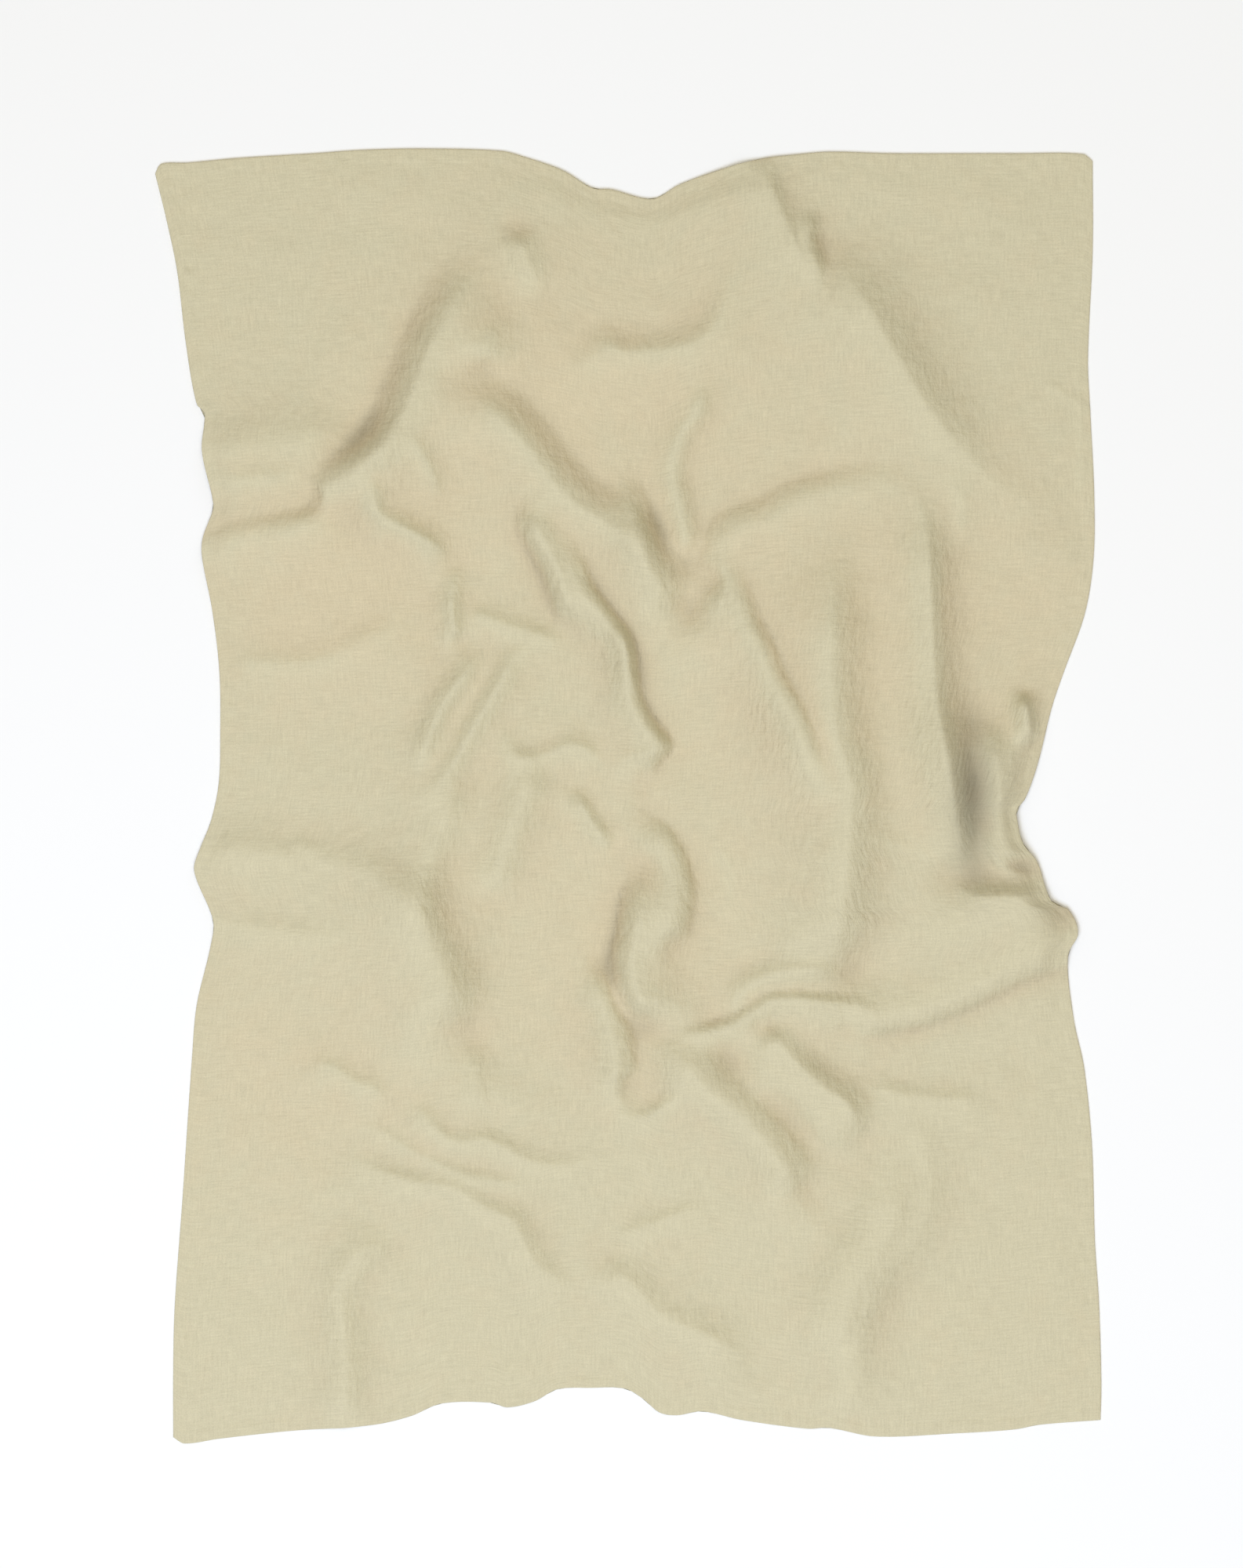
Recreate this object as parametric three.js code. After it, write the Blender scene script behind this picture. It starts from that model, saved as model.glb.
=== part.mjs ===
// A crumpled linen duvet cover, lying on a flat surface and seen from above in its photograph.
// Two panels of the same cut lie one on the other and are sewn together round the edge:
// the back panel rests on the surface, and the front panel stands up from it in folds.
// Lengths are in millimetres. X runs to the right, Y towards the top edge of the photograph, Z up.
// The origin is on the surface, under the middle of the cover.

import * as THREE from 'three';

// The photograph looks straight down, so its pixels are a plan of the cover.
// Outlines and fold routes are pixel places, x to the right and y down, and PIXEL is their real size.
const PIXEL = 1.15;

// The cloth
const SHEET = 2; // thickness of one panel
const LAYER_GAP = 0.5; // air between the panels where they are sewn together
const STEEPEST = 2.2; // the most that a steep face lengthens a panel's upright thickness
const LINEN = 0xd0c7a8;

// The edge, where the seam holds the front panel down
const EDGE_HOLD = 0.35; // share of a fold's height that is left at the very edge
const EDGE_REACH = 55; // from the edge to where a fold stands at its full height

// The facets: cells across and along, and how much smaller they are amid the folds than at the edge
const FRONT_CELLS = { across: 44, along: 60 };
const BACK_CELLS = { across: 22, along: 30 };
const CROWDING = 0.22;

// The four edges. The ends of each are corners of the cover.
const EDGES = {
  top: [
    [198, 222], [204, 210], [239, 208], [303, 202], [401, 196], [457, 192], [536, 190], [639, 193],
    [670, 201], [718, 218], [755, 240], [779, 242], [832, 254], [866, 236], [925, 215], [970, 203],
    [1010, 198], [1057, 194], [1136, 196], [1298, 196], [1381, 197], [1393, 206],
  ],
  bottom: [
    [221, 1833], [235, 1841], [279, 1835], [370, 1825], [477, 1817], [524, 1806], [563, 1790],
    [627, 1789], [647, 1795], [682, 1787], [710, 1772], [753, 1770], [797, 1771], [820, 1784],
    [840, 1801], [863, 1805], [895, 1800], [946, 1811], [1029, 1822], [1057, 1821], [1116, 1832],
    [1219, 1828], [1294, 1823], [1326, 1817], [1403, 1811],
  ],
  left: [
    [198, 222], [212, 279], [226, 346], [237, 437], [251, 516], [261, 527], [258, 575], [271, 634],
    [272, 650], [259, 686], [258, 710], [271, 780], [280, 858], [281, 937], [279, 1000], [269, 1048],
    [255, 1084], [248, 1111], [272, 1174], [269, 1206], [251, 1282], [245, 1349], [233, 1527],
    [223, 1665], [221, 1744], [221, 1833],
  ],
  right: [
    [1393, 206], [1393, 318], [1387, 460], [1390, 528], [1395, 634], [1394, 713], [1383, 783],
    [1356, 858], [1341, 902], [1322, 977], [1306, 1020], [1296, 1032], [1296, 1044], [1304, 1076],
    [1322, 1099], [1341, 1151], [1361, 1159], [1374, 1190], [1361, 1218], [1369, 1301], [1382, 1361],
    [1392, 1460], [1396, 1586], [1401, 1661], [1404, 1764], [1403, 1811],
  ],
};

// The folds. Walking along a route, the cloth is high on the right hand and drops on the left.
// rise is the crest's height, face the width of its steep side and reach that of its gentle side.
// start and finish are the shares of the route over which the fold grows and dies away.
// bend is 1 for a sharp crest, and more for a crest that rolls over before it drops.
// With a foot of 1 the fold ends in a crisp line along its route, and with 0 it levels out around it.
const FOLDS = [
  // the raised middle, from its left shoulder round to its right one
  { name: 'left_shoulder', rise: 48, face: 36, reach: 110, start: 0.26, finish: 0.45, bend: 1.25, foot: 0.6,
    route: [[398, 628], [416, 611], [443, 590], [469, 566], [488, 538], [508, 490], [528, 441],
      [553, 390], [578, 351], [604, 320], [628, 292]] },
  { name: 'shoulder_nose', rise: 25, face: 24, reach: 50, start: 0.3, finish: 0.55, bend: 1.3, foot: 0,
    route: [[666, 288], [677, 321], [690, 352], [706, 386]] },
  { name: 'nose_inner', rise: 26, face: 40, reach: 50, start: 0.7, finish: 0.3, bend: 1.35, foot: 0,
    route: [[652, 392], [648, 425], [636, 455], [622, 478]] },
  { name: 'upper_arc', rise: 20, face: 22, reach: 70, start: 0.3, finish: 0.4, bend: 1.35, foot: 0,
    route: [[688, 472], [739, 457], [774, 437], [799, 443], [841, 441], [882, 431], [908, 407],
      [927, 351], [945, 300]] },
  { name: 'shoulder_upper', rise: 23, face: 15, reach: 85, start: 0.1, finish: 0.4, bend: 1.3, foot: 0,
    route: [[972, 200], [992, 250], [1008, 290], [1028, 336], [1053, 376]] },
  { name: 'shoulder_dimple', rise: 28, face: 17, reach: 24, start: 0.3, finish: 0.3, bend: 1.2, foot: 0.6,
    route: [[1050, 277], [1040, 299], [1045, 326], [1059, 357]] },
  { name: 'right_shoulder', rise: 50, face: 46, reach: 115, start: 0.22, finish: 0.6, bend: 1.15, foot: 0,
    route: [[1075, 297], [1096, 342], [1122, 386], [1142, 423], [1167, 464], [1192, 505], [1223, 544],
      [1255, 578], [1289, 607], [1335, 633], [1380, 665]] },

  // the valley across the middle and the plateau right of it
  { name: 'cross_valley', rise: 43, face: 38, reach: 95, start: 0.2, finish: 0.12, bend: 1.35, foot: 0.6,
    route: [[599, 478], [640, 506], [678, 543], [718, 593], [753, 628], [789, 652], [816, 671],
      [837, 698], [864, 739], [888, 766]] },
  { name: 'rib_a', rise: 21, face: 20, reach: 28, start: 0.2, finish: 0.15, bend: 1.3, foot: 0.5,
    route: [[916, 486], [898, 531], [877, 566], [868, 604], [877, 646], [885, 686], [887, 717]] },
  { name: 'plateau_top', rise: 19, face: 34, reach: 110, start: 0.05, finish: 0.5, bend: 1.6, foot: 0.8,
    route: [[898, 736], [899, 693], [912, 671], [934, 654], [970, 642], [1019, 618], [1083, 601],
      [1135, 598], [1174, 610], [1197, 642]] },
  { name: 'plateau_right', rise: 50, face: 28, reach: 75, start: 0.3, finish: 0.3, bend: 1.15, foot: 0,
    route: [[1158, 590], [1184, 650], [1192, 700], [1195, 760], [1198, 826], [1203, 900], [1213, 960],
      [1222, 1010], [1230, 1060], [1234, 1115]] },
  { name: 'slant', rise: 34, face: 26, reach: 60, start: 0.35, finish: 0.3, bend: 1.5, foot: 0.8,
    route: [[926, 691], [934, 712], [950, 750], [967, 794], [985, 828], [999, 863], [1023, 907],
      [1040, 952], [1058, 995], [1091, 1028]] },
  { name: 'furrow', rise: 66, face: 52, reach: 115, start: 0.3, finish: 0.12, bend: 1.3, foot: 0,
    route: [[1095, 660], [1085, 710], [1081, 760], [1078, 851], [1082, 921], [1096, 973], [1103, 1020],
      [1099, 1080], [1095, 1129], [1088, 1188], [1092, 1214], [1100, 1238]] },

  // the pinched waist at the right edge
  { name: 'hollow_wall', rise: 28, face: 36, reach: 85, start: 0.4, finish: 0.25, bend: 1.15, foot: 0,
    route: [[1204, 850], [1211, 910], [1220, 960], [1227, 1010], [1235, 1060], [1238, 1100],
      [1236, 1140]] },
  { name: 'hollow_side', rise: 40, face: 28, reach: 60, start: 0.15, finish: 0.3, bend: 1.15, foot: 0,
    route: [[1296, 1112], [1272, 1074], [1263, 1029], [1257, 985], [1251, 950], [1246, 912]] },
  { name: 'right_gather', rise: 44, face: 12, reach: 20, start: 0.35, finish: 0.3, bend: 1.2, foot: 0,
    route: [[1307, 880], [1312, 912], [1320, 950]] },
  { name: 'bulge_top', rise: 44, face: 18, reach: 95, start: 0.35, finish: 0.45, bend: 1.2, foot: 0,
    route: [[1213, 1108], [1239, 1133], [1290, 1135], [1329, 1133], [1368, 1148]] },
  { name: 'bulge_line', rise: 28, face: 34, reach: 60, start: 0, finish: 0.12, bend: 1.8, foot: 0.9,
    route: [[1386, 1224], [1341, 1239], [1292, 1258], [1243, 1283], [1188, 1306], [1141, 1316],
      [1086, 1327]] },
  { name: 'right_line', rise: 11, face: 12, reach: 60, start: 0.25, finish: 0.25, bend: 1.3, foot: 0,
    route: [[1099, 1378], [1149, 1389], [1200, 1395], [1265, 1397]] },

  // the creases down the middle
  { name: 'centre_crease', rise: 38, face: 23, reach: 45, start: 0.35, finish: 0.12, bend: 1.6, foot: 0.9,
    route: [[720, 660], [732, 697], [743, 719], [754, 749], [774, 776], [794, 803], [805, 828],
      [810, 856], [818, 894], [833, 921], [851, 944], [853, 957], [840, 975], [828, 1002]] },
  { name: 'centre_lower', rise: 33, face: 34, reach: 34, start: 0.3, finish: 0.15, bend: 1.6, foot: 0.9,
    route: [[811, 1019], [828, 1040], [850, 1055], [867, 1077], [877, 1099], [884, 1126], [884, 1150],
      [879, 1179], [872, 1211]] },
  { name: 'crease_beside', rise: 41, face: 24, reach: 34, start: 0.25, finish: 0.25, bend: 1.5, foot: 0.8,
    route: [[718, 804], [705, 766], [690, 725], [672, 693], [652, 655]] },
  { name: 'arch', rise: 14, face: 12, reach: 30, start: 0.3, finish: 0.3, bend: 1.3, foot: 0,
    route: [[650, 919], [659, 958], [691, 960], [725, 947], [754, 956], [781, 988]] },
  { name: 'arch_inner', rise: 20, face: 12, reach: 28, start: 0.3, finish: 0.3, bend: 1.3, foot: 0,
    route: [[734, 1001], [757, 1043], [788, 1085]] },
  { name: 'arch_soft', rise: 36, face: 34, reach: 45, start: 0.25, finish: 0.25, bend: 1.35, foot: 0,
    route: [[703, 969], [678, 1026], [654, 1094], [635, 1160]] },
  { name: 'spoon', rise: 52, face: 34, reach: 70, start: 0.2, finish: 0.35, bend: 1.5, foot: 0.9,
    route: [[815, 1319], [793, 1281], [783, 1249], [781, 1216], [786, 1191], [795, 1141], [809, 1096]] },
  { name: 'spoon_bowl', rise: 38, face: 32, reach: 40, start: 0.3, finish: 0.15, bend: 1.3, foot: 0.8,
    route: [[778, 1225], [788, 1262], [799, 1300], [807, 1340], [812, 1380]] },

  // the left side
  { name: 'left_band_high', rise: 25, face: 52, reach: 120, start: 0, finish: 0.4, bend: 1.7, foot: 0,
    route: [[242, 566], [302, 556], [352, 547], [402, 540], [453, 521]] },
  { name: 'left_band', rise: 17, face: 30, reach: 60, start: 0, finish: 0.3, bend: 1.5, foot: 0.9,
    route: [[241, 693], [267, 680], [319, 665], [360, 657], [400, 653], [455, 657]] },
  { name: 'left_faint', rise: 11, face: 20, reach: 60, start: 0.2, finish: 0.4, bend: 1.3, foot: 0,
    route: [[280, 834], [350, 839], [412, 834], [482, 800], [546, 767]] },
  { name: 'arc_a', rise: 29, face: 17, reach: 40, start: 0.25, finish: 0.25, bend: 1.05, foot: 0,
    route: [[488, 604], [490, 649], [524, 671], [557, 690], [583, 713]] },
  { name: 'notch_small', rise: 26, face: 14, reach: 25, start: 0.6, finish: 0.15, bend: 1.1, foot: 0,
    route: [[596, 718], [585, 751], [584, 786], [590, 817]] },
  { name: 'shelf', rise: 12, face: 13, reach: 35, start: 0.2, finish: 0.3, bend: 1.3, foot: 0,
    route: [[593, 771], [646, 792], [696, 808], [732, 815]] },
  { name: 'vee_left', rise: 27, face: 18, reach: 24, start: 0.3, finish: 0.3, bend: 1.05, foot: 0,
    route: [[519, 994], [540, 939], [561, 893], [586, 858], [614, 818]] },
  { name: 'vee_right', rise: 26, face: 20, reach: 24, start: 0.25, finish: 0.3, bend: 1.05, foot: 0,
    route: [[698, 830], [664, 847], [642, 885], [614, 929], [594, 967], [570, 1006], [544, 1040]] },
  { name: 'left_ridge', rise: 15, face: 30, reach: 95, start: 0, finish: 0.4, bend: 1.3, foot: 0,
    route: [[230, 1084], [301, 1074], [360, 1079], [417, 1085], [477, 1102], [519, 1122]] },
  { name: 'left_drop', rise: 50, face: 44, reach: 130, start: 0.6, finish: 0.2, bend: 1.7, foot: 0,
    route: [[426, 1051], [457, 1080], [494, 1112], [529, 1139], [555, 1177], [578, 1228], [593, 1271],
      [613, 1311]] },
  { name: 'mid_slope', rise: 30, face: 34, reach: 90, start: 0.3, finish: 0.3, bend: 1.3, foot: 0,
    route: [[600, 979], [583, 1048], [562, 1097], [554, 1151], [572, 1205]] },
  { name: 'left_ridge_low', rise: 8, face: 18, reach: 60, start: 0, finish: 0.4, bend: 1.3, foot: 0,
    route: [[261, 1168], [329, 1177], [400, 1184], [470, 1182]] },

  // the lower right, under the plateau
  { name: 'arch_low_top', rise: 18, face: 18, reach: 26, start: 0.3, finish: 0.25, bend: 1.3, foot: 0.3,
    route: [[913, 1303], [928, 1272], [948, 1250], [977, 1236], [1012, 1229], [1052, 1228],
      [1079, 1238]] },
  { name: 'arch_low', rise: 29, face: 15, reach: 34, start: 0.22, finish: 0.35, bend: 1.3, foot: 0.8,
    route: [[846, 1309], [885, 1308], [925, 1299], [955, 1282], [980, 1267], [1012, 1264], [1055, 1268],
      [1100, 1274], [1135, 1281]] },
  { name: 'low_slash', rise: 48, face: 42, reach: 55, start: 0.35, finish: 0.2, bend: 1.3, foot: 0.5,
    route: [[872, 1308], [898, 1345], [920, 1371], [957, 1400], [996, 1442], [1021, 1476],
      [1045, 1517]] },
  { name: 'low_slash_far', rise: 22, face: 34, reach: 34, start: 0.3, finish: 0.3, bend: 1.4, foot: 0.5,
    route: [[1072, 1490], [1042, 1448], [1007, 1410], [962, 1382], [922, 1355]] },
  { name: 'low_slash_b', rise: 32, face: 24, reach: 45, start: 0.15, finish: 0.25, bend: 1.3, foot: 0,
    route: [[979, 1302], [997, 1321], [1025, 1351], [1054, 1378], [1085, 1401], [1110, 1451]] },
  { name: 'notch_roll', rise: 5, face: 18, reach: 110, start: 0.2, finish: 0.25, bend: 1.6, foot: 0,
    route: [[640, 222], [700, 238], [760, 264], [830, 277], [880, 263], [930, 242], [975, 233]] },
  { name: 'low_valley', rise: 40, face: 62, reach: 48, start: 0.3, finish: 0.25, bend: 1.15, foot: 0,
    route: [[1043, 1770], [1045, 1700], [1054, 1652], [1075, 1606], [1103, 1563], [1113, 1515],
      [1087, 1475]] },
  { name: 'low_ridge', rise: 12, face: 34, reach: 60, start: 0.2, finish: 0.1, bend: 1.35, foot: 0,
    route: [[1156, 1378], [1185, 1450], [1197, 1520], [1178, 1585], [1138, 1627], [1115, 1676],
      [1099, 1748], [1088, 1823]] },

  // the shallow folds of the lower third
  { name: 'foot_a', rise: 14, face: 15, reach: 40, start: 0.3, finish: 0.3, bend: 1.3, foot: 0,
    route: [[389, 1344], [427, 1355], [455, 1374], [481, 1384], [501, 1414]] },
  { name: 'foot_b', rise: 15, face: 14, reach: 35, start: 0.15, finish: 0.5, bend: 1.3, foot: 0,
    route: [[525, 1392], [557, 1433], [585, 1450], [619, 1447], [648, 1459], [684, 1476], [731, 1478],
      [802, 1459]] },
  { name: 'foot_c', rise: 10, face: 12, reach: 22, start: 0.3, finish: 0.3, bend: 1.3, foot: 0,
    route: [[434, 1428], [479, 1435], [518, 1458], [559, 1478], [609, 1496], [660, 1505], [720, 1508]] },
  { name: 'foot_d', rise: 22, face: 20, reach: 60, start: 0.3, finish: 0.2, bend: 1.2, foot: 0,
    route: [[420, 1460], [480, 1483], [530, 1498], [580, 1506], [620, 1530], [658, 1548], [676, 1580],
      [696, 1610], [750, 1645]] },
  { name: 'foot_e', rise: 21, face: 24, reach: 60, start: 0.15, finish: 0.3, bend: 1.2, foot: 0,
    route: [[777, 1598], [817, 1633], [848, 1665], [888, 1685], [924, 1703], [970, 1740]] },
  { name: 'foot_f', rise: 11, face: 11, reach: 35, start: 0.3, finish: 0.4, bend: 1.3, foot: 0,
    route: [[774, 1579], [833, 1554], [913, 1527]] },
  { name: 'foot_g', rise: 18, face: 11, reach: 28, start: 0.5, finish: 0.5, bend: 1.3, foot: 0,
    route: [[780, 1416], [820, 1419], [850, 1402], [881, 1381]] },
  { name: 'foot_i', rise: 27, face: 28, reach: 40, start: 0.2, finish: 0, bend: 1.2, foot: 0,
    route: [[516, 1594], [471, 1605], [446, 1647], [450, 1701], [453, 1760], [450, 1824]] },
];

// Air under the front panel lifts it in broad swells
const SWELLS = [
  { name: 'crown', rise: 14, centre: [760, 470], across: 330, along: 190 },
  { name: 'east', rise: 16, centre: [1060, 900], across: 230, along: 330 },
  { name: 'west', rise: 10, centre: [650, 900], across: 260, along: 260 },
  { name: 'foot', rise: 8, centre: [720, 1500], across: 330, along: 200 },
];

// How the folds are worked out
const ROUTE_STEP = 9; // pixels between the points that a route is walked in
const NEAR_SOFTENING = 60; // square pixels that round off the choice of the nearest route point
const CREST_OFFSET = 0.5; // from the route to the crest, in face widths, for a foot of 0
const REACH_CURVE = 1.6; // power of the gentle fall from the crest
const END_ROUNDING = 0.8;
const SWELL_FALL = 1.2;

function ease(share) {
  const x = THREE.MathUtils.clamp(share, 0, 1);
  return x * x * (3 - 2 * x);
}

// A smooth curve through the points, as one coordinate over the other
function curveOver(points, from, to) {
  return (at) => {
    const last = points.length - 2;
    let i = 0;
    while (i < last && at > points[i + 1][from]) i += 1;
    const [a, b] = [points[i], points[i + 1]];
    const [before, after] = [points[Math.max(i - 1, 0)], points[Math.min(i + 2, points.length - 1)]];
    const span = b[from] - a[from];
    const t = THREE.MathUtils.clamp((at - a[from]) / span, 0, 1);
    const slopeA = ((b[to] - before[to]) / (b[from] - before[from])) * span;
    const slopeB = ((after[to] - a[to]) / (after[from] - a[from])) * span;
    const lead = t * (1 - t) * (1 - t) * slopeA;
    const trail = t * t * (1 - t) * slopeB;
    return a[to] + (b[to] - a[to]) * ease(t) + lead - trail;
  };
}

const topAt = curveOver(EDGES.top, 0, 1);
const bottomAt = curveOver(EDGES.bottom, 0, 1);
const leftAt = curveOver(EDGES.left, 1, 0);
const rightAt = curveOver(EDGES.right, 1, 0);
const CORNERS = {
  topLeft: EDGES.top[0],
  topRight: EDGES.top.at(-1),
  bottomLeft: EDGES.bottom[0],
  bottomRight: EDGES.bottom.at(-1),
};

// The place of a share u of the way across and v of the way down. Straight lines join the corners,
// and each edge's own bends are added, dying away towards the far edge.
function placeAt(u, v) {
  const { topLeft, topRight, bottomLeft, bottomRight } = CORNERS;
  const mix = THREE.MathUtils.lerp;
  const [topX, topY] = [mix(topLeft[0], topRight[0], u), mix(topLeft[1], topRight[1], u)];
  const [bottomX, bottomY] = [mix(bottomLeft[0], bottomRight[0], u), mix(bottomLeft[1], bottomRight[1], u)];
  const [leftX, leftY] = [mix(topLeft[0], bottomLeft[0], v), mix(topLeft[1], bottomLeft[1], v)];
  const [rightX, rightY] = [mix(topRight[0], bottomRight[0], v), mix(topRight[1], bottomRight[1], v)];
  const bendX = (leftAt(leftY) - leftX) * (1 - u) ** 3 + (rightAt(rightY) - rightX) * u ** 3;
  const bendY = (topAt(topX) - topY) * (1 - v) ** 3 + (bottomAt(bottomX) - bottomY) * v ** 3;
  return [mix(leftX, rightX, u) + bendX, mix(topY, bottomY, v) + bendY];
}

// Each fold's route as evenly spaced points, each with its direction
const walkedFolds = FOLDS.map((fold) => {
  const curve = new THREE.SplineCurve(fold.route.map(([x, y]) => new THREE.Vector2(x, y)));
  const steps = Math.max(Math.round(curve.getLength() / ROUTE_STEP), 4);
  const walk = Array.from({ length: steps + 1 }, (_, i) => ({
    point: curve.getPointAt(i / steps),
    heading: curve.getTangentAt(i / steps),
  }));
  return { ...fold, walk };
});

// How high one fold stands at a place
function foldHeight(fold, x, y) {
  let total = 0;
  let side = 0;
  let away = 0;
  let share = 0;
  fold.walk.forEach(({ point, heading }, i) => {
    const dx = x - point.x;
    const dy = y - point.y;
    const distance2 = dx * dx + dy * dy;
    const weight = (distance2 + NEAR_SOFTENING) ** -2;
    total += weight;
    side += weight * (heading.x * dy - heading.y * dx);
    away += weight * distance2;
    share += weight * i;
  });
  side *= PIXEL / total;
  share /= total * (fold.walk.length - 1);
  const past = Math.sqrt(Math.max((away / total) * PIXEL * PIXEL - side * side, 0));
  const pastShare = (END_ROUNDING * past) / fold.reach;
  const crest = side - CREST_OFFSET * (1 + fold.foot) * fold.face;
  const steep = Math.max(-crest / fold.face, 0) ** fold.bend;
  const drop = fold.foot > 0 ? Math.max(1 - fold.foot * steep, 0) ** (1 / fold.foot) : Math.exp(-steep);
  const gentle = Math.exp(-(Math.max(crest / fold.reach, 0) ** REACH_CURVE));
  const ends = Math.exp(-(pastShare ** REACH_CURVE));
  const grown = fold.start > 0 ? ease(share / fold.start) : 1;
  const left = fold.finish > 0 ? ease((1 - share) / fold.finish) : 1;
  return fold.rise * (crest < 0 ? drop : gentle) * ends * grown * left;
}

function swellHeight(swell, x, y) {
  const across = (x - swell.centre[0]) / swell.across;
  const along = (y - swell.centre[1]) / swell.along;
  return swell.rise * Math.exp(-SWELL_FALL * (across * across + along * along));
}

function clothHeight(x, y) {
  const swells = SWELLS.reduce((sum, swell) => sum + swellHeight(swell, x, y), 0);
  return walkedFolds.reduce((sum, fold) => sum + foldHeight(fold, x, y), swells);
}

// Grid lines lie closer together in the middle than at the edges
function crowded(share) {
  return share + (CROWDING / (2 * Math.PI)) * Math.sin(2 * Math.PI * share);
}

// From 0 at the edge of the cover to 1 where the folds stand free of it
function freedomAt(u, v) {
  const width = (CORNERS.topRight[0] - CORNERS.topLeft[0]) * PIXEL;
  const length = (CORNERS.bottomLeft[1] - CORNERS.topLeft[1]) * PIXEL;
  const acrossEdge = Math.min(u, 1 - u) * width;
  const alongEdge = Math.min(v, 1 - v) * length;
  return ease(acrossEdge / EDGE_REACH) * ease(alongEdge / EDGE_REACH);
}

// A grid of places, each with the cloth's height and its freedom from the edge
function layGrid({ across, along }) {
  const rows = [];
  for (let j = 0; j <= along; j += 1) {
    const v = crowded(j / along);
    const row = [];
    for (let i = 0; i <= across; i += 1) {
      const u = crowded(i / across);
      const [x, y] = placeAt(u, v);
      row.push({ x, y, height: clothHeight(x, y), freedom: freedomAt(u, v) });
    }
    rows.push(row);
  }
  return rows;
}

// The middle of all the places, which lies over the origin
function middleOf(grid) {
  const places = grid.flat();
  const xs = places.map((place) => place.x);
  const ys = places.map((place) => place.y);
  return [(Math.min(...xs) + Math.max(...xs)) / 2, (Math.min(...ys) + Math.max(...ys)) / 2];
}

// How much longer than the panel's thickness its upright thickness is, for the slope at a node
function steepness(grid, under, j, i) {
  const left = Math.max(i - 1, 0);
  const right = Math.min(i + 1, grid[0].length - 1);
  const up = Math.max(j - 1, 0);
  const down = Math.min(j + 1, grid.length - 1);
  const run = (a, b) => Math.hypot(b.x - a.x, b.y - a.y) * PIXEL;
  const slopeX = (under[j][right] - under[j][left]) / run(grid[j][left], grid[j][right]);
  const slopeY = (under[down][i] - under[up][i]) / run(grid[up][i], grid[down][i]);
  return Math.min(Math.hypot(1, slopeX, slopeY), STEEPEST);
}

// The height of the back panel's underside: on the surface, but lifted where a fold crosses the edge
function backUnder(grid) {
  return grid.map((row) => row.map((node) => EDGE_HOLD * (1 - node.freedom) * node.height));
}

// The back panel's upper side at a node of the front panel's grid, which is twice as fine
function backTopAt(back, j, i) {
  const j0 = Math.floor(j / 2);
  const i0 = Math.floor(i / 2);
  const j1 = Math.ceil(j / 2);
  const i1 = Math.ceil(i / 2);
  return (back[j0][i0] + back[j1][i1]) / 2 + SHEET;
}

function frontUnder(grid, back) {
  return grid.map((row, j) => row.map((node, i) => {
    const held = EDGE_HOLD + (1 - EDGE_HOLD) * node.freedom;
    const free = SHEET + LAYER_GAP + held * node.height;
    return Math.max(free, backTopAt(back, j, i) + LAYER_GAP);
  }));
}

// Whether the cloth over a cell of the grid bends along the diagonal from its lower left corner
function bendsAcross(grid, j, i) {
  const corners = [grid[j][i], grid[j + 1][i], grid[j + 1][i + 1], grid[j][i + 1]];
  const [a, b, c, d] = corners.map((place) => place.height);
  const x = corners.reduce((sum, place) => sum + place.x, 0) / corners.length;
  const y = corners.reduce((sum, place) => sum + place.y, 0) / corners.length;
  const inside = clothHeight(x, y);
  return Math.abs((b + d) / 2 - inside) < Math.abs((a + c) / 2 - inside);
}

// The closed solid of one panel, from its grid of places and the height of its underside
function panelGeometry(grid, under, middle, bends) {
  const columns = grid[0].length;
  const rows = grid.length;
  const count = columns * rows;
  const positions = [];
  const faces = [];
  const node = (j, i) => j * columns + i;
  const push = (place, z) => positions.push((place.x - middle[0]) * PIXEL, (middle[1] - place.y) * PIXEL, z);
  grid.forEach((row, j) => row.forEach((place, i) => {
    push(place, under[j][i] + SHEET * steepness(grid, under, j, i));
  }));
  grid.forEach((row, j) => row.forEach((place, i) => push(place, under[j][i])));

  for (let j = 0; j < rows - 1; j += 1) {
    for (let i = 0; i < columns - 1; i += 1) {
      const around = [node(j, i), node(j + 1, i), node(j + 1, i + 1), node(j, i + 1)];
      if (bends(grid, j, i)) around.push(around.shift());
      const [a, b, c, d] = around;
      faces.push(a, b, c, a, c, d);
      faces.push(a + count, c + count, b + count, a + count, d + count, c + count);
    }
  }

  const rim = [];
  for (let j = 0; j < rows - 1; j += 1) rim.push(node(j, 0));
  for (let i = 0; i < columns - 1; i += 1) rim.push(node(rows - 1, i));
  for (let j = rows - 1; j > 0; j -= 1) rim.push(node(j, columns - 1));
  for (let i = columns - 1; i > 0; i -= 1) rim.push(node(0, i));
  rim.forEach((a, k) => {
    const b = rim[(k + 1) % rim.length];
    faces.push(a, b + count, b, a, a + count, b + count);
  });

  const geometry = new THREE.BufferGeometry();
  geometry.setAttribute('position', new THREE.Float32BufferAttribute(positions, 3));
  geometry.setIndex(faces);
  geometry.computeVertexNormals();
  return geometry;
}

function linen() {
  return new THREE.MeshStandardMaterial({ color: LINEN, roughness: 0.9, metalness: 0 });
}

function panel(name, grid, under, middle, bends) {
  const mesh = new THREE.Mesh(panelGeometry(grid, under, middle, bends), linen());
  mesh.name = name;
  return mesh;
}

const frontGrid = layGrid(FRONT_CELLS);
const backGrid = layGrid(BACK_CELLS);
const middle = middleOf(frontGrid);
const back = backUnder(backGrid);
const front = frontUnder(frontGrid, back);

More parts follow.
